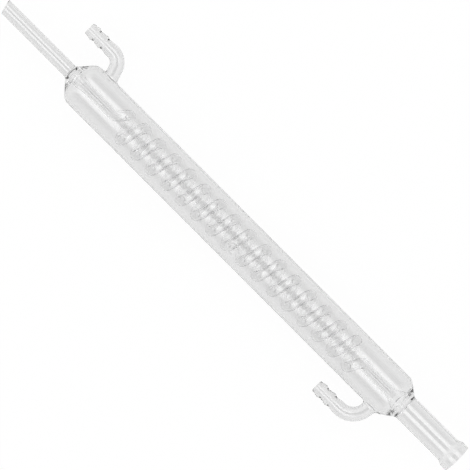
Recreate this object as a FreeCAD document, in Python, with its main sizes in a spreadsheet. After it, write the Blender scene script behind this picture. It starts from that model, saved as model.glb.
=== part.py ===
import FreeCAD, Part

import math
import os

import Sketcher

# Graham condenser, one piece of fused borosilicate glass, in millimetres
# While it is built, X runs along the main axis from the drip seal (x = 0) to the vapour seal,
# the cooling-water arms lie in the XY plane, and the placement at the end lays it on its jacket.

SIZES = [
    ("jacket_length", 400.0, "from the drip seal to the vapour seal"),
    ("jacket_radius", 20.75, "outside of the jacket"),
    ("jacket_wall", 1.5, "wall of the jacket and its shoulders"),
    ("drip_shoulder", 12.9, "length of the cone at the drip end"),
    ("drip_shoulder_round", 10.0, "rounding between that cone and the jacket"),
    ("vapour_shoulder", 12.2, "length of the cone at the vapour end"),
    ("vapour_shoulder_foot", 12.0, "radius where that cone starts"),
    ("vapour_shoulder_round", 8.0, "rounding between that cone and the jacket"),
    ("drip_seal_depth", 7.5, "solid glass of the ring seal at the drip end"),
    ("vapour_seal_depth", 6.5, "solid glass of the ring seal at the vapour end"),
    ("seal_round", 1.2, "rounding inside the ring seals"),
    ("drip_tube_length", 79.5, "from the drip seal to the tip"),
    ("drip_tube_radius", 6.4, "outside of the drip tube"),
    ("drip_tube_wall", 1.4, "wall of the drip tube"),
    ("drip_tip_angle", 14.0, "slant of the drip tip, degrees"),
    ("vapour_tube_length", 62.4, "from the vapour seal to the mouth"),
    ("vapour_tube_radius", 11.5, "outside of the vapour tube"),
    ("vapour_tube_wall", 1.4, "wall of the vapour tube"),
    ("flare_length", 10.7, "length of the flared mouth"),
    ("flare_cone", 4.6, "length of the cone that opens the mouth"),
    ("flare_radius", 13.5, "outside of the flared mouth"),
    ("flare_round", 2.0, "rounding of the flare's two turns"),
    ("lip_round", 0.5, "fire-polished edges of the mouth, the drip tip and the hose ends"),
    ("coil_tube_radius", 4.5, "outside of the coiled tube"),
    ("coil_tube_wall", 1.0, "wall of the coiled tube"),
    ("coil_radius", 11.0, "from the main axis to the middle of the coiled tube"),
    ("coil_turns", 15.35, "full turns between the leads"),
    ("coil_lead_length", 18.0, "length along the axis of each lead into the coil"),
    ("coil_lead_turns", 0.5, "turn that each lead makes"),
    ("coil_start_angle", 126.0, "where the tube leaves the axis, degrees from +Y"),
    ("drip_inner_length", 32.5, "from the drip seal to where the inner tube starts to bend"),
    ("vapour_inner_length", 27.5, "from the vapour seal to where the inner tube starts to bend"),
    ("drip_taper", 20.0, "from the drip seal to where the inner tube has its full narrowing"),
    ("funnel_length", 17.0, "from the vapour seal to the narrow end of the funnel"),
    ("funnel_mouth", 9.8, "outside of the funnel at the seal's solid glass"),
    ("funnel_round", 12.0, "rounding where the funnel meets the inner tube"),
    ("arm_radius", 6.2, "outside of the water arms"),
    ("arm_wall", 1.3, "wall of the water arms"),
    ("drip_arm_place", 27.6, "from the drip seal to the root of its arm"),
    ("drip_arm_offset", 37.4, "from the main axis to the axis of that hose end"),
    ("drip_arm_reach", 42.4, "from the arm's root to its tip along the condenser"),
    ("drip_arm_lean", 17.8, "lean of that arm towards the drip end, degrees"),
    ("drip_arm_bend", 12.5, "bend radius of that arm"),
    ("drip_arm_fillet", 2.5, "fused root of that arm"),
    ("vapour_arm_place", 20.7, "from the vapour seal to the root of its arm"),
    ("vapour_arm_offset", 40.2, "from the main axis to the axis of that hose end"),
    ("vapour_arm_reach", 44.4, "from the arm's root to its tip along the condenser"),
    ("vapour_arm_lean", 7.4, "lean of that arm towards the drip end, degrees"),
    ("vapour_arm_bend", 17.0, "bend radius of that arm"),
    ("vapour_arm_fillet", 3.0, "fused root of that arm"),
    ("barb_tip_radius", 5.4, "outside of the hose end at its tip"),
    ("barb_ridge_radius", 6.6, "outside of the two ridges"),
    ("barb_neck_radius", 5.3, "outside of the necks behind the ridges"),
    ("barb_rise", 6.6, "length of each ridge's slope"),
    ("barb_drop", 3.0, "length of each ridge's back"),
    ("barb_blend", 5.0, "from the last neck to the plain tube"),
    ("barb_wall", 1.2, "wall at the necks"),
    ("barb_round", 1.0, "rounding of the ridges"),
    ("arm_root_depth", 5.0, "how far the arms' bores run inside the jacket's outside"),
    ("dimple_place", 203.6, "from the drip seal to the dimple that steadies the coil"),
    ("dimple_angle", 61.0, "the dimple's direction, degrees above -Y"),
    ("dimple_radius", 9.0, "hollow of the dimple"),
    ("dimple_gap", 0.75, "between the dimple and the coil"),
]

doc = FreeCAD.newDocument("graham_condenser")
sheet = doc.addObject("Spreadsheet::Sheet", "sizes")
for row, (alias, number, note) in enumerate(SIZES, start=1):
    sheet.set("A%d" % row, note)
    sheet.set("B%d" % row, str(number))
    sheet.setAlias("B%d" % row, alias)
doc.recompute()

# Places along the axis and radii that several features share
TIP = "-sizes.drip_tube_length"
MOUTH = "sizes.jacket_length + sizes.vapour_tube_length"
FLARE_FOOT = MOUTH + " - sizes.flare_length"
INNER_RADIUS = "sizes.jacket_radius - sizes.jacket_wall"
DRIP_SLOPE = "((sizes.jacket_radius - sizes.drip_tube_radius) / sizes.drip_shoulder)"
VAPOUR_SLOPE = "((sizes.jacket_radius - sizes.vapour_shoulder_foot) / sizes.vapour_shoulder)"
DRIP_SKIN = "(sizes.jacket_wall * sqrt(1 + %s ^ 2))" % DRIP_SLOPE
VAPOUR_SKIN = "(sizes.jacket_wall * sqrt(1 + %s ^ 2))" % VAPOUR_SLOPE
COIL_BORE = "sizes.coil_tube_radius - sizes.coil_tube_wall"
VAPOUR_BORE = "sizes.vapour_tube_radius - sizes.vapour_tube_wall"
DRIP_BORE = "sizes.drip_tube_radius - sizes.drip_tube_wall"
BARB_LENGTH = "2 * (sizes.barb_rise + sizes.barb_drop) + sizes.barb_blend"


def value(expression):
    """The number that an expression of the sheet comes to."""
    return float(sheet.evalExpression(str(expression)))


def origin_part(body, role):
    """One of a body's own origin planes or axes."""
    return next(part for part in body.Origin.OriginFeatures if part.Role == role)


def new_sketch(body, name, plane="XY_Plane", shift=None):
    """An empty sketch on one of the body's planes; shift binds its offset along X, Y and Z."""
    sketch = body.newObject("Sketcher::SketchObject", name)
    sketch.AttachmentSupport = [(origin_part(body, plane), "")]
    sketch.MapMode = "FlatFace"
    for letter, expression in zip("xyz", shift or ()):
        sketch.setExpression("AttachmentOffset.Base.%s" % letter, expression)
    doc.recompute()
    return sketch


def place_point(sketch, line, end, x, y):
    """Ties a point of a sketch to the sheet by its two distances from the sketch's origin."""
    for kind, expression in (("DistanceX", x), ("DistanceY", y)):
        number = sketch.addConstraint(
            Sketcher.Constraint(kind, -1, 1, line, end, value(expression))
        )
        sketch.setExpression("Constraints[%d]" % number, expression)


def outline(body, name, corners, plane="XY_Plane", shift=None):
    """A sketch of one closed polygon whose corners are pairs of expressions."""
    sketch = new_sketch(body, name, plane, shift)
    points = [FreeCAD.Vector(value(x), value(y), 0) for x, y in corners]
    lines = [
        sketch.addGeometry(Part.LineSegment(a, b), False)
        for a, b in zip(points, points[1:] + points[:1])
    ]
    for here, there in zip(lines, lines[1:] + lines[:1]):
        sketch.addConstraint(Sketcher.Constraint("Coincident", here, 2, there, 1))
    for line, (x, y) in zip(lines, corners):
        place_point(sketch, line, 1, x, y)
    doc.recompute()
    return sketch


def circle(body, name, shift, across, radius):
    """A sketch of one circle, square to the main axis, centred across from it in Y."""
    sketch = new_sketch(body, name, "YZ_Plane", shift)
    centre = FreeCAD.Vector(value(across), 0, 0)
    ring = sketch.addGeometry(
        Part.Circle(centre, FreeCAD.Vector(0, 0, 1), value(radius)), False
    )
    place_point(sketch, ring, 3, across, "0")
    number = sketch.addConstraint(Sketcher.Constraint("Radius", ring, value(radius)))
    sketch.setExpression("Constraints[%d]" % number, radius)
    doc.recompute()
    return sketch


def turned(body, name, kind, sketch, axis="H_Axis"):
    """A Revolution or Groove of a sketch about one of its own axes."""
    feature = body.newObject("PartDesign::%s" % kind, name)
    feature.Profile = sketch
    feature.ReferenceAxis = (sketch, [axis])
    feature.Angle = 360
    doc.recompute()
    return feature


def ring_edges(shape, rings, across="0"):
    """Names of the circular edges at (x, radius) pairs, round the main axis or one across from it."""
    wanted = [(value(x), value(radius)) for x, radius in rings]
    middle = value(across)
    names = []
    for number, edge in enumerate(shape.Edges, start=1):
        if not isinstance(edge.Curve, Part.Circle):
            continue
        centre = edge.Curve.Center
        if math.hypot(centre.y - middle, centre.z) > 0.01:
            continue
        here = (centre.x, edge.Curve.Radius)
        if any(math.dist(here, place) < 0.01 for place in wanted):
            names.append("Edge%d" % number)
    return names


def rounded(body, name, edges, radius):
    """A fillet of the body's edges, with its radius tied to the sheet."""
    base = body.Tip
    fillet = body.newObject("PartDesign::Fillet", name)
    fillet.Base = (base, edges)
    fillet.setExpression("Radius", radius)
    doc.recompute()
    return fillet


def piped(body, name, kind, profile, path):
    """An AdditivePipe or SubtractivePipe of a profile along a path."""
    feature = body.newObject("PartDesign::%s" % kind, name)
    feature.Profile = profile
    feature.Spine = (path, [])
    doc.recompute()
    return feature


# The blown envelope: drip tube, shoulders, jacket, vapour tube and flared mouth
body = doc.addObject("PartDesign::Body", "envelope")
skin = outline(body, "skin_profile", [
    (TIP, "0"),
    (TIP, "sizes.drip_tube_radius"),
    ("0", "sizes.drip_tube_radius"),
    ("sizes.drip_shoulder", "sizes.jacket_radius"),
    ("sizes.jacket_length - sizes.vapour_shoulder", "sizes.jacket_radius"),
    ("sizes.jacket_length", "sizes.vapour_shoulder_foot"),
    ("sizes.jacket_length + sizes.vapour_shoulder_foot - sizes.vapour_tube_radius",
     "sizes.vapour_tube_radius"),
    (FLARE_FOOT, "sizes.vapour_tube_radius"),
    (FLARE_FOOT + " + sizes.flare_cone", "sizes.flare_radius"),
    (MOUTH, "sizes.flare_radius"),
    (MOUTH, "0"),
])
turned(body, "skin", "Revolution", skin)
rounded(body, "drip_shoulder_rounding", ring_edges(body.Tip.Shape, [
    ("sizes.drip_shoulder", "sizes.jacket_radius"),
]), "sizes.drip_shoulder_round")
rounded(body, "vapour_shoulder_rounding", ring_edges(body.Tip.Shape, [
    ("sizes.jacket_length - sizes.vapour_shoulder", "sizes.jacket_radius"),
]), "sizes.vapour_shoulder_round")
rounded(body, "flare_rounding", ring_edges(body.Tip.Shape, [
    (FLARE_FOOT, "sizes.vapour_tube_radius"),
    (FLARE_FOOT + " + sizes.flare_cone", "sizes.flare_radius"),
]), "sizes.flare_round")


def water_arm(name, root_x, side):
    """One water arm with its ridged hose end; returns its path and the expressions of its place."""
    size = "sizes.%s_arm_" % name
    lean = "(%slean)" % size
    setback = "(%sbend * tan(45 - %s / 2))" % (size, lean)
    tip_x = "%s - %sreach" % (root_x, size)
    hose_x = "%s + %s" % (tip_x, BARB_LENGTH)
    hose_y = "%d * %soffset" % (side, size)
    corner_x = "%s - (%soffset - sizes.jacket_radius) * tan(%s)" % (root_x, size, lean)
    leave_x = "%s + %s * sin(%s)" % (corner_x, setback, lean)
    leave_y = "%d * (%soffset - %s * cos(%s))" % (side, size, setback, lean)
    end_x = "%s + sizes.arm_root_depth * sin(%s)" % (root_x, lean)
    end_y = "%d * (sizes.jacket_radius - sizes.arm_root_depth * cos(%s))" % (side, lean)
    hose = FreeCAD.Vector(value(hose_x), value(hose_y), 0)
    leave = FreeCAD.Vector(value(leave_x), value(leave_y), 0)
    end = FreeCAD.Vector(value(end_x), value(end_y), 0)
    bend = value(size + "bend")
    turn = FreeCAD.Vector(value(corner_x) - value(setback), hose.y, 0)
    half = math.radians(45 + value(lean) / 2)
    middle = turn + FreeCAD.Vector(
        bend * math.cos(half), side * bend * (math.sin(half) - 1), 0
    )
    path = new_sketch(body, name + "_arm_path")
    straight = path.addGeometry(Part.LineSegment(hose, turn), False)
    arc = path.addGeometry(Part.Arc(turn, middle, leave), False)
    root = path.addGeometry(Part.LineSegment(leave, end), False)
    first, last = (2, 1) if side > 0 else (1, 2)
    path.addConstraint(Sketcher.Constraint("Tangent", straight, 2, arc, first))
    path.addConstraint(Sketcher.Constraint("Tangent", arc, last, root, 1))
    path.addConstraint(Sketcher.Constraint("Horizontal", straight))
    place_point(path, straight, 1, hose_x, hose_y)
    place_point(path, root, 1, leave_x, leave_y)
    place_point(path, root, 2, end_x, end_y)
    doc.recompute()
    ring = circle(body, name + "_arm_ring", ("0", "0", hose_x), hose_y, "sizes.arm_radius")
    piped(body, name + "_arm", "AdditivePipe", ring, path)
    barb = outline(body, name + "_hose_end_profile", [
        ("0", "0"),
        ("0", "sizes.barb_tip_radius"),
        ("sizes.barb_rise", "sizes.barb_ridge_radius"),
        ("sizes.barb_rise + sizes.barb_drop", "sizes.barb_neck_radius"),
        ("2 * sizes.barb_rise + sizes.barb_drop", "sizes.barb_ridge_radius"),
        ("2 * (sizes.barb_rise + sizes.barb_drop)", "sizes.barb_neck_radius"),
        (BARB_LENGTH, "sizes.arm_radius"),
        (BARB_LENGTH, "0"),
    ], shift=(tip_x, hose_y, "0"))
    turned(body, name + "_hose_end", "Revolution", barb)
    rounded(body, name + "_hose_end_rounding", ring_edges(body.Tip.Shape, [
        (tip_x + " + sizes.barb_rise", "sizes.barb_ridge_radius"),
        (tip_x + " + 2 * sizes.barb_rise + sizes.barb_drop", "sizes.barb_ridge_radius"),
    ], hose_y), "sizes.barb_round")
    return path, tip_x, hose_x, hose_y


def root_edges(shape, x, side):
    """Names of the edges where a water arm meets the jacket or its shoulder."""
    reach = value("sizes.arm_radius") * 1.6
    outside = value("sizes.jacket_radius")
    names = []
    for number, edge in enumerate(shape.Edges, start=1):
        box = edge.BoundBox
        middle = edge.CenterOfMass
        beside = abs(middle.x - value(x)) < reach
        near = beside and 0.7 * outside < side * middle.y < outside + 0.5
        if near and box.ZLength > 1 and not isinstance(edge.Curve, Part.Circle):
            names.append("Edge%d" % number)
    return names


drip_root = "sizes.drip_arm_place"
vapour_root = "sizes.jacket_length - sizes.vapour_arm_place"
arms = {
    "drip": water_arm("drip", drip_root, 1),
    "vapour": water_arm("vapour", vapour_root, -1),
}
for name, x, side in (("drip", drip_root, 1), ("vapour", vapour_root, -1)):
    edges = root_edges(body.Tip.Shape, x, side)
    rounded(body, name + "_arm_root", edges, "sizes.%s_arm_fillet" % name)

# The water space between the jacket and the inner tube, which leaves a ring seal at each end
DRIP_CORNER = "sizes.drip_shoulder - (sizes.jacket_wall - %s) / %s" % (DRIP_SKIN, DRIP_SLOPE)
VAPOUR_CORNER = ("sizes.jacket_length - sizes.vapour_shoulder + (sizes.jacket_wall - %s) / %s"
                 % (VAPOUR_SKIN, VAPOUR_SLOPE))
NARROW = "sizes.jacket_length - sizes.funnel_length"
cavity = outline(body, "water_space_profile", [
    ("sizes.drip_seal_depth", "sizes.drip_tube_radius"),
    ("sizes.drip_taper", "sizes.coil_tube_radius"),
    ("sizes.drip_inner_length", "sizes.coil_tube_radius"),
    ("sizes.drip_inner_length", "0"),
    ("sizes.jacket_length - sizes.vapour_inner_length", "0"),
    ("sizes.jacket_length - sizes.vapour_inner_length", "sizes.coil_tube_radius"),
    (NARROW, "sizes.coil_tube_radius"),
    ("sizes.jacket_length - sizes.vapour_seal_depth", "sizes.funnel_mouth"),
    ("sizes.jacket_length - sizes.vapour_seal_depth",
     "sizes.vapour_shoulder_foot + sizes.vapour_seal_depth * %s - %s" % (VAPOUR_SLOPE, VAPOUR_SKIN)),
    (VAPOUR_CORNER, INNER_RADIUS),
    (DRIP_CORNER, INNER_RADIUS),
    ("sizes.drip_seal_depth",
     "sizes.drip_tube_radius + sizes.drip_seal_depth * %s - %s" % (DRIP_SLOPE, DRIP_SKIN)),
])
turned(body, "water_space", "Groove", cavity)
rounded(body, "drip_shoulder_inside", ring_edges(body.Tip.Shape, [
    (DRIP_CORNER, INNER_RADIUS),
]), "sizes.drip_shoulder_round - sizes.jacket_wall")
rounded(body, "vapour_shoulder_inside", ring_edges(body.Tip.Shape, [
    (VAPOUR_CORNER, INNER_RADIUS),
]), "sizes.vapour_shoulder_round - sizes.jacket_wall")
rounded(body, "funnel_outside", ring_edges(body.Tip.Shape, [
    (NARROW, "sizes.coil_tube_radius"),
]), "sizes.funnel_round")
rounded(body, "seal_rounding", ring_edges(body.Tip.Shape, [
    ("sizes.drip_seal_depth", "sizes.drip_tube_radius"),
    ("sizes.jacket_length - sizes.vapour_seal_depth", "sizes.funnel_mouth"),
]), "sizes.seal_round")

# The dimple: a ball of glass at the jacket's wall, trimmed level with it, then hollowed from outside
DIMPLE_CENTRE = ("sizes.coil_radius + sizes.coil_tube_radius + sizes.dimple_gap"
                 " + sizes.jacket_wall + sizes.dimple_radius")


def dimple_sketch(name, radius):
    """A half circle in the plane through the main axis and the dimple."""
    sketch = new_sketch(body, name)
    sketch.setExpression("AttachmentOffset.Base.x", "sizes.dimple_place")
    down = "-(%s) * cos(sizes.dimple_angle)" % DIMPLE_CENTRE
    up = "(%s) * sin(sizes.dimple_angle)" % DIMPLE_CENTRE
    sketch.setExpression("AttachmentOffset.Base.y", down)
    sketch.setExpression("AttachmentOffset.Base.z", up)
    size = value(radius)
    arc = sketch.addGeometry(Part.ArcOfCircle(
        Part.Circle(FreeCAD.Vector(0, 0, 0), FreeCAD.Vector(0, 0, 1), size), 0, math.pi), False)
    line = sketch.addGeometry(
        Part.LineSegment(FreeCAD.Vector(-size, 0, 0), FreeCAD.Vector(size, 0, 0)), False)
    sketch.addConstraint(Sketcher.Constraint("Coincident", arc, 3, -1, 1))
    sketch.addConstraint(Sketcher.Constraint("Coincident", arc, 2, line, 1))
    sketch.addConstraint(Sketcher.Constraint("Coincident", arc, 1, line, 2))
    sketch.addConstraint(Sketcher.Constraint("Horizontal", line))
    number = sketch.addConstraint(Sketcher.Constraint("Radius", arc, size))
    sketch.setExpression("Constraints[%d]" % number, radius)
    doc.recompute()
    return sketch


ball = dimple_sketch("dimple_ball_profile", "sizes.dimple_radius + sizes.jacket_wall")
turned(body, "dimple_ball", "Revolution", ball)
TRIM_FROM = "sizes.dimple_place - 2 * sizes.dimple_radius"
TRIM_TO = "sizes.dimple_place + 2 * sizes.dimple_radius"
TRIM_OUTSIDE = "sizes.jacket_radius + 3 * sizes.dimple_radius"
trim = outline(body, "dimple_trim_profile", [
    (TRIM_FROM, "sizes.jacket_radius"),
    (TRIM_TO, "sizes.jacket_radius"),
    (TRIM_TO, TRIM_OUTSIDE),
    (TRIM_FROM, TRIM_OUTSIDE),
])
turned(body, "dimple_trim", "Groove", trim)
bowl = dimple_sketch("dimple_bowl_profile", "sizes.dimple_radius")
turned(body, "dimple_bowl", "Groove", bowl)

# Bores of the water arms
for name, side in (("drip", 1), ("vapour", -1)):
    path, tip_x, hose_x, hose_y = arms[name]
    inside = "sizes.arm_radius - sizes.arm_wall"
    ring = circle(body, name + "_arm_bore_ring", ("0", "0", hose_x), hose_y, inside)
    piped(body, name + "_arm_bore", "SubtractivePipe", ring, path)
    bore = outline(body, name + "_hose_end_bore_profile", [
        ("0", "0"),
        ("0", "sizes.barb_neck_radius - sizes.barb_wall"),
        ("2 * (sizes.barb_rise + sizes.barb_drop)", "sizes.barb_neck_radius - sizes.barb_wall"),
        (BARB_LENGTH, inside),
        (BARB_LENGTH, "0"),
    ], shift=(tip_x, hose_y, "0"))
    turned(body, name + "_hose_end_bore", "Groove", bore)

# Bores along the main axis, up to where the inner tube starts to bend
drip_way = outline(body, "drip_bore_profile", [
    (TIP, "0"),
    (TIP, DRIP_BORE),
    ("sizes.drip_seal_depth", DRIP_BORE),
    ("sizes.drip_taper", COIL_BORE),
    ("sizes.drip_inner_length", COIL_BORE),
    ("sizes.drip_inner_length", "0"),
])
turned(body, "drip_bore", "Groove", drip_way)
vapour_way = outline(body, "vapour_bore_profile", [
    (MOUTH, "0"),
    (MOUTH, "sizes.flare_radius - sizes.vapour_tube_wall"),
    (FLARE_FOOT + " + sizes.flare_cone", "sizes.flare_radius - sizes.vapour_tube_wall"),
    (FLARE_FOOT, VAPOUR_BORE),
    ("sizes.jacket_length", VAPOUR_BORE),
    ("sizes.jacket_length - sizes.vapour_seal_depth", "sizes.funnel_mouth - sizes.vapour_tube_wall"),
    (NARROW, COIL_BORE),
    ("sizes.jacket_length - sizes.vapour_inner_length", COIL_BORE),
    ("sizes.jacket_length - sizes.vapour_inner_length", "0"),
])
turned(body, "vapour_bore", "Groove", vapour_way)
rounded(body, "funnel_inside", ring_edges(body.Tip.Shape, [
    (NARROW, COIL_BORE),
]), "sizes.funnel_round + sizes.coil_tube_wall")

# The slanted drip tip
MARGIN = "sizes.drip_tube_wall"
slant = outline(body, "tip_cut_profile", [
    ("%s - %s * tan(sizes.drip_tip_angle)" % (TIP, MARGIN), "sizes.drip_tube_radius + %s" % MARGIN),
    ("%s - %s" % (TIP, MARGIN), "sizes.drip_tube_radius + %s" % MARGIN),
    ("%s - %s" % (TIP, MARGIN), "-sizes.drip_tube_radius - %s" % MARGIN),
    ("%s + (2 * sizes.drip_tube_radius + %s) * tan(sizes.drip_tip_angle)" % (TIP, MARGIN),
     "-sizes.drip_tube_radius - %s" % MARGIN),
])
tip_cut = body.newObject("PartDesign::Pocket", "tip_cut")
tip_cut.Profile = slant
tip_cut.Type = "ThroughAll"
tip_cut.SideType = "Symmetric"
doc.recompute()

# Fire-polished rims
rims = ring_edges(body.Tip.Shape, [
    (MOUTH, "sizes.flare_radius"),
    (MOUTH, "sizes.flare_radius - sizes.vapour_tube_wall"),
])
for path, tip_x, hose_x, hose_y in arms.values():
    rims += ring_edges(body.Tip.Shape, [
        (tip_x, "sizes.barb_tip_radius"),
        (tip_x, "sizes.barb_neck_radius - sizes.barb_wall"),
    ], hose_y)
for number, edge in enumerate(body.Tip.Shape.Edges, start=1):
    if edge.BoundBox.XMax < value("sizes.drip_tube_radius - sizes.drip_tube_length"):
        rims.append("Edge%d" % number)
rounded(body, "fire_polish", rims, "sizes.lip_round")

# The coil, wound left-handed, with an eased lead from the axis at each end
lead = value("sizes.coil_lead_length")
lead_turns = value("sizes.coil_lead_turns")
turns = value("sizes.coil_turns")
winding = value("sizes.coil_radius")
begin = value("sizes.drip_inner_length")
finish = value("sizes.jacket_length - sizes.vapour_inner_length")
all_turns = turns + 2 * lead_turns
count = round(all_turns * 8)
step = all_turns / count
pitch = (finish - begin - 2 * lead * (1 + 4 * step / lead_turns)) / (turns - 4 * step)
rate = 2 * lead / lead_turns - pitch
lead_start = begin + 2 * step * rate
lead_finish = finish - 2 * step * rate


def eased(turn):
    """Distance from the axis and along it, some turns into a lead."""
    part = turn / lead_turns
    along = (2 * lead - pitch * lead_turns) * part + (pitch * lead_turns - lead) * part * part
    return winding * part * part * (3 - 2 * part), along


def coil_point(turn, grow):
    """A point of the coil's centre line; grow makes up for the curve cutting inside its poles."""
    if turn <= 0:
        return FreeCAD.Vector(lead_start + rate * turn, 0, 0)
    if turn >= all_turns:
        return FreeCAD.Vector(lead_finish + rate * (turn - all_turns), 0, 0)
    if turn < lead_turns:
        radius, along = eased(turn)
        x = lead_start + along
    elif turn > all_turns - lead_turns:
        radius, along = eased(all_turns - turn)
        x = lead_finish - along
    else:
        radius = winding
        x = lead_start + lead + pitch * (turn - lead_turns)
    angle = math.radians(value("sizes.coil_start_angle")) - 2 * math.pi * turn
    return FreeCAD.Vector(x, grow * radius * math.cos(angle), grow * radius * math.sin(angle))


wave = 2 * math.pi * step
shrink = (33 + 26 * math.cos(wave) + math.cos(2 * wave)) / 60
poles = [coil_point(step * number, 1 / shrink) for number in range(-2, count + 3)]
knots = len(poles) - 4
centre_line = Part.BSplineCurve()
counts = [6] + [1] * (knots - 2) + [6]
centre_line.buildFromPolesMultsKnots(poles, counts, list(range(knots)), False, 5)


def skin_along(radius):
    """The skin of a round rod along the coil's centre line, open at both ends."""
    ring = Part.makeCircle(radius, centre_line.StartPoint, FreeCAD.Vector(1, 0, 0))
    sweep = Part.BRepOffsetAPI.MakePipeShell(Part.Wire([centre_line.toShape()]))
    sweep.setFrenetMode(False)
    sweep.setTolerance(0.01, 0.01, 0.01)
    sweep.add(Part.Wire([ring]))
    sweep.build()
    return sweep.shape()


def end_ring(face, place):
    """Whether a face is the flat ring of a straight tube's end at a place on the axis."""
    box = face.BoundBox
    small = box.YLength < 2.2 * value("sizes.coil_tube_radius")
    return small and box.XLength < 0.01 and abs(box.XMin - place) < 0.01


# One solid: the envelope and the coil's two skins joined at the rims of the straight tubes' ends
faces = [
    face for face in body.Shape.Faces
    if not end_ring(face, begin) and not end_ring(face, finish)
]
outer = skin_along(value("sizes.coil_tube_radius"))
inner = skin_along(value(COIL_BORE))
joined = Part.makeCompound(faces + outer.Faces + inner.Faces)
joined.sewShape(0.01)
glass = Part.Solid(joined.Shells[0])
glass.fix(0.001, 0.001, 0.001)
condenser = doc.addObject("Part::Feature", "condenser")
condenser.Label = "condenser"
condenser.Shape = glass
condenser.setExpression("Placement.Base.x", "-(%s - sizes.drip_tube_length) / 2" % MOUTH)
condenser.setExpression(
    "Placement.Base.y", "(sizes.vapour_arm_offset - sizes.drip_arm_offset) / 2"
)
condenser.setExpression("Placement.Base.z", "sizes.jacket_radius")
doc.recompute()

# Checks before anything is written
for obj in doc.Objects:
    if "Invalid" in obj.State or "Error" in obj.State:
        raise RuntimeError("feature %s did not compute" % obj.Name)
shape = condenser.Shape
if shape.isNull() or not shape.isValid() or len(shape.Solids) != 1:
    raise RuntimeError("the condenser is not one sound solid")

os.makedirs("parts", exist_ok=True)
shape.exportStep("parts/condenser.step")
box = shape.optimalBoundingBox(True, False)
print("condenser", len(shape.Faces), "faces", shape.Volume, "mm3", box)
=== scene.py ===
import math

import bmesh
import bpy
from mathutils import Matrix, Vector


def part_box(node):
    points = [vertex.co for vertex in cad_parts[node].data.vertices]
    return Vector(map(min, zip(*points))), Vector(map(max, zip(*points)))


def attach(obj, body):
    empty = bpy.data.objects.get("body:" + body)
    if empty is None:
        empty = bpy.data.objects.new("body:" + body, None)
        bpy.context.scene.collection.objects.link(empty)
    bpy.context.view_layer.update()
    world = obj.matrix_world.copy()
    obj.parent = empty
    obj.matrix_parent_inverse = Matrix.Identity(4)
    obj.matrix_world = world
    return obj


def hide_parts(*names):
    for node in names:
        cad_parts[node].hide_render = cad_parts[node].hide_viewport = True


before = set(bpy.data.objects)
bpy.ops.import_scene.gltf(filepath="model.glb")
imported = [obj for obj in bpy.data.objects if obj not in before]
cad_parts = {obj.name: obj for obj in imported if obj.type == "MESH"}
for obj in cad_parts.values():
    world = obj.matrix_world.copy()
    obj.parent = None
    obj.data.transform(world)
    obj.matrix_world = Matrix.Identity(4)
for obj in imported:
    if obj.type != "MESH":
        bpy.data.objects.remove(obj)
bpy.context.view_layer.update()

# Sizes in millimetres, along X from the drip seal, as in the CAD
MM = 0.001
JACKET_LENGTH = 400.0
JACKET_RADIUS = 20.75
JACKET_WALL = 1.5
DRIP_SHOULDER = 12.9
DRIP_SHOULDER_ROUND = 10.0
VAPOUR_SHOULDER = 12.2
VAPOUR_SHOULDER_FOOT = 12.0
VAPOUR_SHOULDER_ROUND = 8.0
DRIP_SEAL_DEPTH = 7.5
VAPOUR_SEAL_DEPTH = 6.5
SEAL_ROUND = 2.0
DRIP_TUBE_LENGTH = 79.5
DRIP_TUBE_RADIUS = 6.4
DRIP_TUBE_WALL = 1.4
DRIP_TIP_ANGLE = math.radians(14)
VAPOUR_TUBE_LENGTH = 62.4
VAPOUR_TUBE_RADIUS = 11.5
VAPOUR_TUBE_WALL = 1.4
FLARE_LENGTH = 10.7
FLARE_CONE = 4.6
FLARE_RADIUS = 13.5
FLARE_ROUND = 2.0
LIP_ROUND = 0.5
COIL_TUBE_RADIUS = 4.5
COIL_TUBE_WALL = 1.0
COIL_RADIUS = 11.0
COIL_TURNS = 15.35
COIL_LEAD_LENGTH = 18.0
COIL_LEAD_TURNS = 0.5
COIL_START_ANGLE = math.radians(126)
DRIP_INNER_LENGTH = 32.5
VAPOUR_INNER_LENGTH = 27.5
DRIP_TAPER = 20.0
FUNNEL_LENGTH = 17.0
FUNNEL_MOUTH = 9.8
FUNNEL_ROUND = 12.0
ARM_RADIUS = 6.2
ARM_WALL = 1.3
BARB_TIP_RADIUS = 5.4
BARB_RIDGE_RADIUS = 6.6
BARB_NECK_RADIUS = 5.3
BARB_RISE = 6.6
BARB_DROP = 3.0
BARB_BLEND = 5.0
BARB_WALL = 1.2
BARB_ROUND = 1.0
DIMPLE_PLACE = 203.6
DIMPLE_TURN = math.radians(180 - 61)
DIMPLE_RADIUS = 9.0
DIMPLE_GAP = 0.75
ARMS = {
    "drip": {"place": 27.6, "side": 1, "offset": 37.4, "reach": 42.4, "lean": math.radians(17.8),
             "bend": 12.5, "fillet": 2.5},
    "vapour": {"place": JACKET_LENGTH - 20.7, "side": -1, "offset": 40.2, "reach": 44.4,
               "lean": math.radians(7.4), "bend": 17.0, "fillet": 3.0},
}

# How softly the glass runs together where the CAD has an edge
FOOT_ROUND = 5.0
INNER_ROUND = 0.6
FOOT_REACH = 6.0
BORE_ROUND = 2.5
CORNER_ROUND = 1.0
CORNER_REACH = 1.8
RIM_BLEND = 0.5

# How finely the glass is divided
SIDES = 96
COIL_SIDES = 32
COIL_STEPS = 44
ARC_STEP = math.radians(6)
FEWEST_ARC_STEPS = 3
PATCH = 16
PATCH_REACH = 11.0
PLACE_DIGITS = 3
ROOT_STEPS = 4
FILLET_STEPS = 6
BEND_STEPS = 14
DIMPLE_STEPS = 16
HALVINGS = 40

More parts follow.
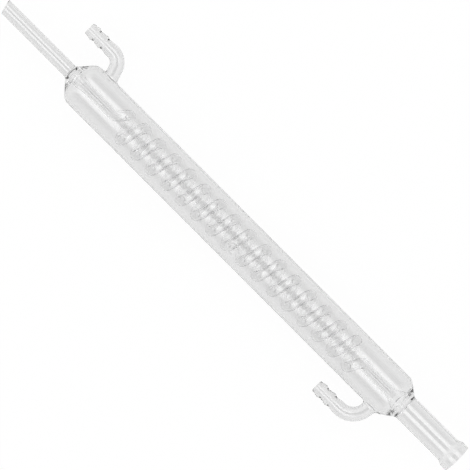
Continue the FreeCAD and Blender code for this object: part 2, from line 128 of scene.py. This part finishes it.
MOUTH = JACKET_LENGTH + VAPOUR_TUBE_LENGTH
FLARE_FOOT = MOUTH - FLARE_LENGTH
INNER_RADIUS = JACKET_RADIUS - JACKET_WALL
COIL_BORE = COIL_TUBE_RADIUS - COIL_TUBE_WALL
DRIP_BORE = DRIP_TUBE_RADIUS - DRIP_TUBE_WALL
VAPOUR_BORE = VAPOUR_TUBE_RADIUS - VAPOUR_TUBE_WALL
BARB_LENGTH = 2 * (BARB_RISE + BARB_DROP) + BARB_BLEND
NARROW = JACKET_LENGTH - FUNNEL_LENGTH

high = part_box("condenser")[1]
AXIS_Y = MM * (ARMS["vapour"]["offset"] - ARMS["drip"]["offset"]) / 2
ORIGIN = Vector((high[0] - MM * MOUTH, AXIS_Y, MM * JACKET_RADIUS))


def softened(corners):
    """Points of an outline given as (x, r) or (x, r, rounding) corners, rounded ones as arcs."""
    points = []
    for number, corner in enumerate(corners):
        here = Vector(corner[:2])
        if len(corner) == 2:
            points.append(here)
            continue
        before = (Vector(corners[number - 1][:2]) - here).normalized()
        after = (Vector(corners[number + 1][:2]) - here).normalized()
        half = before.angle(after) / 2
        centre = here + (before + after).normalized() * corner[2] / math.sin(half)
        start = here + before * corner[2] / math.tan(half) - centre
        sweep = start.angle_signed(here + after * corner[2] / math.tan(half) - centre)
        steps = max(FEWEST_ARC_STEPS, math.ceil(abs(sweep) / ARC_STEP))
        for step in range(steps + 1):
            turn = -sweep * step / steps
            cos, sin = math.cos(turn), math.sin(turn)
            spoke = Vector((start.x * cos - start.y * sin, start.x * sin + start.y * cos))
            points.append(centre + spoke)
    return points


def height(outline, x):
    """The radius of an outline at a place along the axis."""
    for a, b in zip(outline, outline[1:]):
        if x <= b.x:
            break
    part = (x - a.x) / (b.x - a.x)
    return a.y + (b.y - a.y) * part


# Outlines of the jacket with its shoulders, outside and inside
drip_slope = (JACKET_RADIUS - DRIP_TUBE_RADIUS) / DRIP_SHOULDER
vapour_slope = (JACKET_RADIUS - VAPOUR_SHOULDER_FOOT) / VAPOUR_SHOULDER
drip_skin = JACKET_WALL * math.sqrt(1 + drip_slope ** 2)
vapour_skin = JACKET_WALL * math.sqrt(1 + vapour_slope ** 2)
vapour_foot = JACKET_LENGTH + (VAPOUR_SHOULDER_FOOT - VAPOUR_TUBE_RADIUS) / vapour_slope
jacket_outside = softened([
    (-FOOT_REACH, DRIP_TUBE_RADIUS),
    (0, DRIP_TUBE_RADIUS, FOOT_ROUND),
    (DRIP_SHOULDER, JACKET_RADIUS, DRIP_SHOULDER_ROUND),
    (JACKET_LENGTH - VAPOUR_SHOULDER, JACKET_RADIUS, VAPOUR_SHOULDER_ROUND),
    (vapour_foot, VAPOUR_TUBE_RADIUS, FOOT_ROUND),
    (vapour_foot + FOOT_REACH, VAPOUR_TUBE_RADIUS),
])
drip_corner = DRIP_TUBE_RADIUS + DRIP_SEAL_DEPTH * drip_slope - drip_skin
vapour_corner = VAPOUR_SHOULDER_FOOT + VAPOUR_SEAL_DEPTH * vapour_slope - vapour_skin
jacket_inside = softened([
    (DRIP_SEAL_DEPTH + CORNER_REACH, drip_corner + CORNER_REACH * drip_slope),
    (DRIP_SHOULDER - (JACKET_WALL - drip_skin) / drip_slope, INNER_RADIUS,
     DRIP_SHOULDER_ROUND - JACKET_WALL),
    (JACKET_LENGTH - VAPOUR_SHOULDER + (JACKET_WALL - vapour_skin) / vapour_slope, INNER_RADIUS,
     VAPOUR_SHOULDER_ROUND - JACKET_WALL),
    (JACKET_LENGTH - VAPOUR_SEAL_DEPTH - CORNER_REACH, vapour_corner + CORNER_REACH * vapour_slope),
])

glass = bmesh.new()


def ring(x, radius):
    """A ring of vertices round the main axis, counted from +Y towards +Z."""
    turns = [2 * math.pi * number / SIDES for number in range(SIDES)]
    return [glass.verts.new((x, radius * math.cos(turn), radius * math.sin(turn))) for turn in turns]


def join(first, second):
    """Faces between two closed rings of equal count."""
    for number in range(len(first)):
        glass.faces.new((first[number], first[number - 1], second[number - 1], second[number]))


def run(start, outline):
    """Carries a ring on through the points of an outline; returns the last ring."""
    for point in outline:
        following = ring(point.x, point.y)
        join(start, following)
        start = following
    return start


def join_fine(coarse, fine):
    """Faces between a coarse ring and one with a whole number of times its count."""
    ratio = len(fine) // len(coarse)
    for number in range(len(coarse)):
        after = (number + 1) % len(coarse)
        edge = [fine[(number * ratio + step) % len(fine)] for step in range(ratio + 1)]
        glass.faces.new([coarse[number]] + edge + [coarse[after]])


def skin(outline, holes):
    """A jacket skin with a square hole at each (place, column) and rings elsewhere.

    Returns its first and last rings, and each hole's rim as a closed loop of vertices.
    """
    places = {round(point.x, PLACE_DIGITS) for point in outline}
    for place, column in holes:
        places = {x for x in places if abs(x - place) > PATCH_REACH}
    for place, column in holes:
        edges = [place + PATCH_REACH * (2 * step / PATCH - 1) for step in range(PATCH + 1)]
        places |= {round(x, PLACE_DIGITS) for x in edges}
    places = sorted(places)
    rings = [ring(x, height(outline, x)) for x in places]
    rims = []
    open_cells = set()
    for place, column in holes:
        start = places.index(round(place - PATCH_REACH, PLACE_DIGITS))
        end = start + PATCH
        first = column - PATCH // 2
        last = first + PATCH
        open_cells |= {(row, side % SIDES) for row in range(start, end) for side in range(first, last)}
        rim = [rings[row][first % SIDES] for row in range(start, end)]
        rim += [rings[end][side % SIDES] for side in range(first, last)]
        rim += [rings[row][last % SIDES] for row in range(end, start, -1)]
        rim += [rings[start][side % SIDES] for side in range(last, first, -1)]
        rims.append(rim)
        for row in range(start + 1, end):
            for side in range(first + 1, last):
                glass.verts.remove(rings[row][side % SIDES])
    for row in range(len(rings) - 1):
        here, ahead = rings[row], rings[row + 1]
        for side in range(SIDES):
            if (row, side) not in open_cells:
                after = (side + 1) % SIDES
                glass.faces.new((here[side], here[after], ahead[after], ahead[side]))
    return rings[0], rings[-1], rims


def on_skin(outline, x, turn):
    """A point of a jacket skin."""
    radius = height(outline, x)
    return Vector((x, radius * math.cos(turn), radius * math.sin(turn)))


def skin_place(point):
    """Where a point of a jacket skin is along the axis and round it."""
    return point.x, math.atan2(point.z, point.y)


def nearest_turn(turn, about):
    """The same direction, within half a turn of another."""
    return turn + 2 * math.pi * round((about - turn) / (2 * math.pi))


class Arm:
    """The path of one water arm and the surfaces that follow it."""

    def __init__(self, sizes):
        self.side = sizes["side"]
        self.fillet = sizes["fillet"]
        self.tip = Vector((sizes["place"] - sizes["reach"], self.side * sizes["offset"], 0))
        lean = sizes["lean"]
        self.inward = Vector((math.sin(lean), -self.side * math.cos(lean), 0))
        self.root = Vector((sizes["place"], self.side * JACKET_RADIUS, 0))
        climb = (sizes["offset"] - JACKET_RADIUS) / math.cos(lean)
        corner = self.root - self.inward * climb
        self.bend = sizes["bend"]
        setback = self.bend * math.tan(math.pi / 4 - lean / 2)
        self.turn = corner - Vector((setback, 0, 0))
        self.leave = corner + self.inward * setback
        self.sweep = math.pi / 2 - lean
        self.place = sizes["place"]
        self.about = 0 if self.side > 0 else math.pi

    def across(self, point):
        """The part of a point's offset that is square to the leaning line, and its length."""
        offset = point - self.root
        square = offset - self.inward * offset.dot(self.inward)
        return square, square.length

    def stations(self):
        """Centres and directions of the rings from the jacket to the hose end."""
        middle = self.turn - Vector((0, self.side * self.bend, 0))
        rows = [(self.leave, -self.inward)]
        for step in range(1, BEND_STEPS + 1):
            angle = math.pi / 2 - self.sweep * (1 - step / BEND_STEPS)
            centre = middle + self.bend * Vector((math.cos(angle), self.side * math.sin(angle), 0))
            rows.append((centre, Vector((-math.sin(angle), self.side * math.cos(angle), 0))))
        return rows

    def round_ring(self, centre, direction, radius, angles):
        """A ring square to a direction in the XY plane, with a vertex at each angle."""
        up = Vector((0, 0, 1))
        flat = up.cross(direction)
        return [glass.verts.new(centre + radius * (math.cos(angle) * flat + math.sin(angle) * up))
                for angle in angles]

    def root_rows(self, outline, rim, radius, fillet):
        """Joins a hole's rim to a ring on the tube; returns that ring and its vertices' angles."""
        grid = [skin_place(vertex.co) for vertex in rim]
        rays = [(x - self.place, nearest_turn(turn, self.about) - self.about) for x, turn in grid]
        wide = [self.ring_on_skin(outline, ray, radius + fillet) for ray in rays]
        tight = [self.ring_on_skin(outline, ray, radius) for ray in rays]
        last = rim
        for step in range(1, ROOT_STEPS + 1):
            part = step / ROOT_STEPS
            following = []
            for ray, far in zip(rays, wide):
                x = ray[0] + (far[0] - ray[0]) * part
                turn = ray[1] + (far[1] - ray[1]) * part
                following.append(glass.verts.new(on_skin(outline, self.place + x, self.about + turn)))
            join(last, following)
            last = following
        flat = Vector((0, 0, 1)).cross(-self.inward)
        angles = []
        begins = []
        corners = []
        ends = []
        for far, near in zip(wide, tight):
            begin = on_skin(outline, self.place + far[0], self.about + far[1])
            corner = on_skin(outline, self.place + near[0], self.about + near[1])
            square, length = self.across(begin)
            angle = math.atan2(square.z, square.dot(flat))
            rise = (corner - self.root).dot(-self.inward) + fillet
            end = self.root - self.inward * rise + square / length * radius
            begins.append(begin)
            corners.append(end + self.inward * fillet)
            ends.append(end)
            angles.append(angle)
        for step in range(1, FILLET_STEPS + 1):
            part = step / FILLET_STEPS
            following = [
                glass.verts.new(begin * (1 - part) ** 2 + corner * 2 * part * (1 - part) + end * part ** 2)
                for begin, corner, end in zip(begins, corners, ends)
            ]
            join(last, following)
            last = following
        return last, angles

    def ring_on_skin(self, outline, ray, distance):
        """How far along a ray over the skin the tube's axis is a given distance away."""
        near, far = 0.0, 1.0
        for _ in range(HALVINGS):
            middle = (near + far) / 2
            point = on_skin(outline, self.place + ray[0] * middle, self.about + ray[1] * middle)
            if self.across(point)[1] < distance:
                near = middle
            else:
                far = middle
        return ray[0] * near, ray[1] * near

    def tube(self, start, angles, radius, profile):
        """Carries a root ring along the path and through the hose end's profile of (place, radius)."""
        for centre, direction in self.stations():
            following = self.round_ring(centre, direction, radius, angles)
            join(start, following)
            start = following
        for point in profile:
            centre = self.tip + Vector((point.x, 0, 0))
            following = self.round_ring(centre, Vector((-1, 0, 0)), point.y, angles)
            join(start, following)
            start = following
        return start


def coil_point(turn):
    """The coil's centre line, some turns after it leaves the axis."""
    angle = COIL_START_ANGLE - 2 * math.pi * turn
    if turn <= 0:
        return Vector((lead_start + rate * turn, 0, 0))
    if turn >= all_turns:
        return Vector((lead_finish + rate * (turn - all_turns), 0, 0))
    if turn < COIL_LEAD_TURNS:
        radius, along = eased(turn)
        x = lead_start + along
    elif turn > all_turns - COIL_LEAD_TURNS:
        radius, along = eased(all_turns - turn)
        x = lead_finish - along
    else:
        radius = COIL_RADIUS
        x = lead_start + COIL_LEAD_LENGTH + pitch * (turn - COIL_LEAD_TURNS)
    return Vector((x, radius * math.cos(angle), radius * math.sin(angle)))


def eased(turn):
    """Distance from the axis and along it, some turns into a lead."""
    part = turn / COIL_LEAD_TURNS
    along = (2 * COIL_LEAD_LENGTH - pitch * COIL_LEAD_TURNS) * part
    along += (pitch * COIL_LEAD_TURNS - COIL_LEAD_LENGTH) * part * part
    return COIL_RADIUS * part * part * (3 - 2 * part), along


def coil_skin(radius):
    """A skin along the coil that doesn't twist.

    Returns its two end rings, lined up with the straight tubes.
    """
    ends = 2 * step_turns
    count = round((all_turns + 2 * ends) * COIL_STEPS)
    line = [coil_point(-ends + (all_turns + 2 * ends) * number / count) for number in range(count + 1)]
    normal = Vector((0, 1, 0))
    frames = []
    for number, point in enumerate(line):
        ahead = line[min(number + 1, count)] - line[max(number - 1, 0)]
        direction = ahead.normalized()
        normal = (normal - direction * normal.dot(direction)).normalized()
        frames.append((point, direction, normal))
    last = frames[-1][2]
    slip = math.atan2(last.z, last.y)
    unit = 2 * math.pi / COIL_SIDES
    shift = round(slip / unit)
    slip -= shift * unit
    rings = []
    for number, (point, direction, normal) in enumerate(frames):
        side = direction.cross(normal)
        angles = [unit * corner - slip * number / count for corner in range(COIL_SIDES)]
        spokes = [math.cos(angle) * normal + math.sin(angle) * side for angle in angles]
        rings.append([glass.verts.new(point + radius * spoke) for spoke in spokes])
    for before, after in zip(rings, rings[1:]):
        join(before, after)
    return rings[0], [rings[-1][(corner - shift) % COIL_SIDES] for corner in range(COIL_SIDES)]


# Lay-out of the coil along the axis, as in the CAD
all_turns = COIL_TURNS + 2 * COIL_LEAD_TURNS
step_turns = all_turns / round(all_turns * 8)
pitch = (JACKET_LENGTH - VAPOUR_INNER_LENGTH - DRIP_INNER_LENGTH
         - 2 * COIL_LEAD_LENGTH * (1 + 4 * step_turns / COIL_LEAD_TURNS)) / (COIL_TURNS - 4 * step_turns)
rate = 2 * COIL_LEAD_LENGTH / COIL_LEAD_TURNS - pitch
lead_start = DRIP_INNER_LENGTH + 2 * step_turns * rate
lead_finish = JACKET_LENGTH - VAPOUR_INNER_LENGTH - 2 * step_turns * rate

# The two jacket skins, with holes for the arms' roots and the dimple
holes = [
    (ARMS["drip"]["place"], 0),
    (ARMS["vapour"]["place"], SIDES // 2),
    (DIMPLE_PLACE, round(DIMPLE_TURN / (2 * math.pi) * SIDES)),
]
outside_drip, outside_vapour, outside_rims = skin(jacket_outside, holes)
inside_drip, inside_vapour, inside_rims = skin(jacket_inside, holes)


def dimple_surface(outline, ball, x, turn):
    """A skin pressed in by a ball, with a softened rim."""
    away = COIL_RADIUS + COIL_TUBE_RADIUS + DIMPLE_GAP + JACKET_WALL + DIMPLE_RADIUS
    flat = height(outline, x)
    off = turn - DIMPLE_TURN
    inside = (away * math.cos(off)) ** 2 - away ** 2 - (x - DIMPLE_PLACE) ** 2 + ball ** 2
    pressed = away * math.cos(off) - math.sqrt(max(inside, 0)) + 4 * max(-inside, 0)
    blend = max(RIM_BLEND - abs(flat - pressed), 0) / RIM_BLEND
    radius = min(flat, pressed) - blend * blend * RIM_BLEND / 4
    return Vector((x, radius * math.cos(turn), radius * math.sin(turn)))


def dimple(outline, rim, ball):
    """Fills a hole of a skin with the dimple."""
    rays = [(x - DIMPLE_PLACE, nearest_turn(turn, DIMPLE_TURN) - DIMPLE_TURN)
            for x, turn in (skin_place(vertex.co) for vertex in rim)]
    lengths = [math.hypot(x, JACKET_RADIUS * turn) for x, turn in rays]
    last = rim
    circle = min(lengths)
    for step in range(1, DIMPLE_STEPS):
        part = 1 - step / DIMPLE_STEPS
        following = []
        for (x, turn), length in zip(rays, lengths):
            square = max(0, 1 - 4 * step / DIMPLE_STEPS)
            reach = part * (square + (1 - square) * circle / length)
            following.append(glass.verts.new(
                dimple_surface(outline, ball, DIMPLE_PLACE + x * reach, DIMPLE_TURN + turn * reach)))
        join(last, following)
        last = following
    centre = glass.verts.new(dimple_surface(outline, ball, DIMPLE_PLACE, DIMPLE_TURN))
    for number in range(len(last)):
        glass.faces.new((last[number], last[number - 1], centre))


dimple(jacket_outside, outside_rims[2], DIMPLE_RADIUS)
dimple(jacket_inside, inside_rims[2], DIMPLE_RADIUS + JACKET_WALL)

# The water arms, outside from the jacket to the hose end's rim, and their bores back to the water space
hose_bore = BARB_NECK_RADIUS - BARB_WALL
hose_outside = softened([
    (BARB_LENGTH, ARM_RADIUS),
    (2 * (BARB_RISE + BARB_DROP), BARB_NECK_RADIUS, 4 * BARB_ROUND),
    (2 * BARB_RISE + BARB_DROP, BARB_RIDGE_RADIUS, BARB_ROUND),
    (BARB_RISE + BARB_DROP, BARB_NECK_RADIUS, BARB_ROUND),
    (BARB_RISE, BARB_RIDGE_RADIUS, BARB_ROUND),
    (0, BARB_TIP_RADIUS, LIP_ROUND),
    (0, hose_bore, LIP_ROUND),
    (2 * LIP_ROUND, hose_bore),
])
hose_inside = softened([
    (BARB_LENGTH, ARM_RADIUS - ARM_WALL),
    (2 * (BARB_RISE + BARB_DROP), hose_bore, 4 * BARB_ROUND),
    (4 * LIP_ROUND, hose_bore),
])
for number, sizes in enumerate(ARMS.values()):
    arm = Arm(sizes)
    root, angles = arm.root_rows(jacket_outside, outside_rims[number], ARM_RADIUS, arm.fillet)
    rim = arm.tube(root, angles, ARM_RADIUS, hose_outside)
    root, angles = arm.root_rows(
        jacket_inside, inside_rims[number], ARM_RADIUS - ARM_WALL, arm.fillet + JACKET_WALL
    )
    join(arm.tube(root, angles, ARM_RADIUS - ARM_WALL, hose_inside), rim)

# The inner tube's outside, from seal to seal
coil_first, coil_last = coil_skin(COIL_TUBE_RADIUS)
seal = run(inside_drip, softened([
    jacket_inside[0],
    (DRIP_SEAL_DEPTH, drip_corner, CORNER_ROUND),
    (DRIP_SEAL_DEPTH, DRIP_TUBE_RADIUS, SEAL_ROUND),
    (DRIP_TAPER, COIL_TUBE_RADIUS, BORE_ROUND * 4),
    (DRIP_INNER_LENGTH - FOOT_REACH, COIL_TUBE_RADIUS),
])[1:])
join_fine(coil_first, seal)
seal = run(inside_vapour, softened([
    jacket_inside[-1],
    (JACKET_LENGTH - VAPOUR_SEAL_DEPTH, vapour_corner, CORNER_ROUND),
    (JACKET_LENGTH - VAPOUR_SEAL_DEPTH, FUNNEL_MOUTH, SEAL_ROUND),
    (NARROW, COIL_TUBE_RADIUS, FUNNEL_ROUND),
    (JACKET_LENGTH - VAPOUR_INNER_LENGTH + FOOT_REACH, COIL_TUBE_RADIUS),
])[1:])
join_fine(coil_last, seal)

# The way through: mouth, vapour tube, funnel, coil and drip tube
bore_first, bore_last = coil_skin(COIL_BORE)
flare = softened([
    (vapour_foot + FOOT_REACH, VAPOUR_TUBE_RADIUS),
    (FLARE_FOOT, VAPOUR_TUBE_RADIUS, FLARE_ROUND),
    (FLARE_FOOT + FLARE_CONE, FLARE_RADIUS, FLARE_ROUND),
    (MOUTH, FLARE_RADIUS, LIP_ROUND),
    (MOUTH, FLARE_RADIUS - VAPOUR_TUBE_WALL, LIP_ROUND),
    (FLARE_FOOT + FLARE_CONE, FLARE_RADIUS - VAPOUR_TUBE_WALL, INNER_ROUND),
    (FLARE_FOOT, VAPOUR_BORE, INNER_ROUND),
    (JACKET_LENGTH, VAPOUR_BORE, BORE_ROUND),
    (JACKET_LENGTH - VAPOUR_SEAL_DEPTH, FUNNEL_MOUTH - VAPOUR_TUBE_WALL, BORE_ROUND),
    (NARROW, COIL_BORE, FUNNEL_ROUND + COIL_TUBE_WALL),
    (JACKET_LENGTH - VAPOUR_INNER_LENGTH + FOOT_REACH, COIL_BORE),
])
join_fine(bore_last, run(outside_vapour, flare[1:]))
tip = softened([
    (-FOOT_REACH, DRIP_TUBE_RADIUS),
    (-DRIP_TUBE_LENGTH + DRIP_TUBE_RADIUS, DRIP_TUBE_RADIUS),
    (-DRIP_TUBE_LENGTH, DRIP_TUBE_RADIUS, LIP_ROUND),
    (-DRIP_TUBE_LENGTH, DRIP_BORE, LIP_ROUND),
    (-DRIP_TUBE_LENGTH + DRIP_TUBE_RADIUS, DRIP_BORE),
    (DRIP_SEAL_DEPTH, DRIP_BORE, BORE_ROUND * 4),
    (DRIP_TAPER, COIL_BORE, BORE_ROUND * 4),
    (DRIP_INNER_LENGTH - FOOT_REACH, COIL_BORE),
])
join_fine(bore_first, run(outside_drip, tip[1:]))
for vertex in glass.verts:
    if vertex.co.x < -DRIP_TUBE_LENGTH + DRIP_TUBE_RADIUS / 2:
        vertex.co.x += (DRIP_TUBE_RADIUS - vertex.co.y) * math.tan(DRIP_TIP_ANGLE)

bmesh.ops.recalc_face_normals(glass, faces=glass.faces)
for face in glass.faces:
    face.smooth = True
for vertex in glass.verts:
    vertex.co = ORIGIN + vertex.co * MM
mesh = bpy.data.meshes.new("condenser_glass")
glass.to_mesh(mesh)
glass.free()
condenser = bpy.data.objects.new("condenser_glass", mesh)
bpy.context.collection.objects.link(condenser)


def clear_glass():
    """Clear borosilicate glass with a trace of haze."""
    material = bpy.data.materials.new("clear_glass")
    material.use_nodes = True
    shader = material.node_tree.nodes["Principled BSDF"]
    shader.inputs["Base Color"].default_value = (1.0, 1.0, 1.0, 1)
    shader.inputs["Roughness"].default_value = 0.0
    shader.inputs["IOR"].default_value = 1.474
    shader.inputs["Transmission Weight"].default_value = 0.985
    return material


mesh.materials.append(clear_glass())
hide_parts("condenser")
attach(condenser, "root")


# How bright the backdrop glows behind the glass (a flat grey there, painted shade standing in for the
# floor's shade under the glass), and how far it hides the floor's own shade
PAINTED_SHADE_GREY_BEHIND_GLASS = 0.76
COVER_BEHIND_GLASS = 1.0
COVER_FOR_CAMERA = 0.97


def pale_floor():
    """A pale floor that the camera sees as white, and that keeps a part of its own shade; through the
    glass it glows a flat painted-shade grey.
    """
    material = bpy.data.materials.new("pale_floor")
    material.use_nodes = True
    nodes = material.node_tree.nodes
    links = material.node_tree.links
    pale = nodes["Principled BSDF"]
    pale.inputs["Base Color"].default_value = (0.86, 0.86, 0.86, 1)
    pale.inputs["Roughness"].default_value = 0.9
    pale.inputs["Specular IOR Level"].default_value = 0.0
    white = nodes.new("ShaderNodeEmission")
    rays = nodes.new("ShaderNodeLightPath")
    strength = nodes.new("ShaderNodeMath")
    strength.operation = "MULTIPLY_ADD"
    # Transmission rays see the glow dimmed to a flat grey: painted shade behind the glass
    strength.inputs[1].default_value = PAINTED_SHADE_GREY_BEHIND_GLASS - 1
    strength.inputs[2].default_value = 1.0
    seen = nodes.new("ShaderNodeMath")
    seen.operation = "MULTIPLY"
    seen.inputs[1].default_value = COVER_FOR_CAMERA
    cover = nodes.new("ShaderNodeMath")
    cover.operation = "MULTIPLY_ADD"
    cover.inputs[1].default_value = COVER_BEHIND_GLASS
    mix = nodes.new("ShaderNodeMixShader")
    links.new(rays.outputs["Is Transmission Ray"], strength.inputs[0])
    links.new(strength.outputs[0], white.inputs["Strength"])
    links.new(rays.outputs["Is Camera Ray"], seen.inputs[0])
    links.new(rays.outputs["Is Transmission Ray"], cover.inputs[0])
    links.new(seen.outputs[0], cover.inputs[2])
    links.new(cover.outputs[0], mix.inputs["Fac"])
    links.new(pale.outputs[0], mix.inputs[1])
    links.new(white.outputs[0], mix.inputs[2])
    links.new(mix.outputs[0], nodes["Material Output"].inputs["Surface"])
    return material


# The floor, just under the glass
FLOOR_SIZE = 10.0
FLOOR_HEIGHT = -0.0005
bpy.ops.mesh.primitive_plane_add(size=FLOOR_SIZE, location=(0, 0, FLOOR_HEIGHT))
floor = bpy.context.object
floor.name = "floor"
floor.data.materials.append(pale_floor())

# Studio light, by the angle from straight up across the condenser: a soft bright band on each side
# of the camera, darker above and beside them, and lighter again towards the floor
BAND_LEVELS = [(0, 0.05), (9, 0.05), (21, 2.0), (38, 2.0), (58, 0.3), (72, 0.3), (90, 0.9)]
END_LEVEL = 1.2
END_FROM = 0.25
END_TO = 0.55


def studio():
    """The room as a world: the bands run along the condenser and fade towards its two ends."""
    world = bpy.data.worlds.new("studio")
    world.use_nodes = True
    nodes = world.node_tree.nodes
    links = world.node_tree.links
    peak = max(level for degrees, level in BAND_LEVELS)
    direction = nodes.new("ShaderNodeTexCoord")
    parts = nodes.new("ShaderNodeSeparateXYZ")
    angle = nodes.new("ShaderNodeMath")
    angle.operation = "ARCTAN2"
    side = nodes.new("ShaderNodeMath")
    side.operation = "ABSOLUTE"
    share = nodes.new("ShaderNodeMath")
    share.operation = "DIVIDE"
    share.inputs[1].default_value = math.pi / 2
    bands = nodes.new("ShaderNodeValToRGB")
    bands.color_ramp.interpolation = "EASE"
    stops = bands.color_ramp.elements
    stops[0].position = 0
    stops[1].position = 1
    for degrees, level in BAND_LEVELS[1:-1]:
        stops.new(degrees / 90)
    for stop, (degrees, level) in zip(stops, BAND_LEVELS):
        stop.color = (level / peak, level / peak, level / peak, 1)
    along = nodes.new("ShaderNodeMath")
    along.operation = "ABSOLUTE"
    fade = nodes.new("ShaderNodeMapRange")
    fade.interpolation_type = "SMOOTHSTEP"
    fade.inputs["From Min"].default_value = END_FROM
    fade.inputs["From Max"].default_value = END_TO
    ends = nodes.new("ShaderNodeMix")
    ends.data_type = "RGBA"
    ends.inputs[7].default_value = (END_LEVEL / peak, END_LEVEL / peak, END_LEVEL / peak, 1)
    background = nodes["Background"]
    background.inputs["Strength"].default_value = peak
    links.new(direction.outputs["Generated"], parts.inputs[0])
    links.new(parts.outputs["Y"], angle.inputs[0])
    links.new(parts.outputs["Z"], angle.inputs[1])
    links.new(angle.outputs[0], side.inputs[0])
    links.new(side.outputs[0], share.inputs[0])
    links.new(share.outputs[0], bands.inputs["Fac"])
    links.new(parts.outputs["X"], along.inputs[0])
    links.new(along.outputs[0], fade.inputs["Value"])
    links.new(fade.outputs["Result"], ends.inputs[0])
    links.new(bands.outputs["Color"], ends.inputs[6])
    links.new(ends.outputs[2], background.inputs["Color"])
    return world


bpy.context.scene.world = studio()

# The camera looks straight down, with the main axis running from upper left to lower right
VIEW_WIDTH = 0.4014
VIEW_CENTRE = ORIGIN + MM * Vector((195.85, 1.0, 0))
VIEW_TURN = math.radians(45.06)
camera_data = bpy.data.cameras.new("camera")
camera_data.lens = 200.0
camera_data.sensor_width = 36.0
camera = bpy.data.objects.new("camera", camera_data)
view_height = VIEW_WIDTH * camera_data.lens / camera_data.sensor_width
camera.location = (VIEW_CENTRE.x, VIEW_CENTRE.y, view_height)
camera.rotation_euler = (0, 0, VIEW_TURN)
bpy.context.collection.objects.link(camera)
bpy.context.scene.camera = camera
bpy.context.scene.view_settings.view_transform = "Standard"
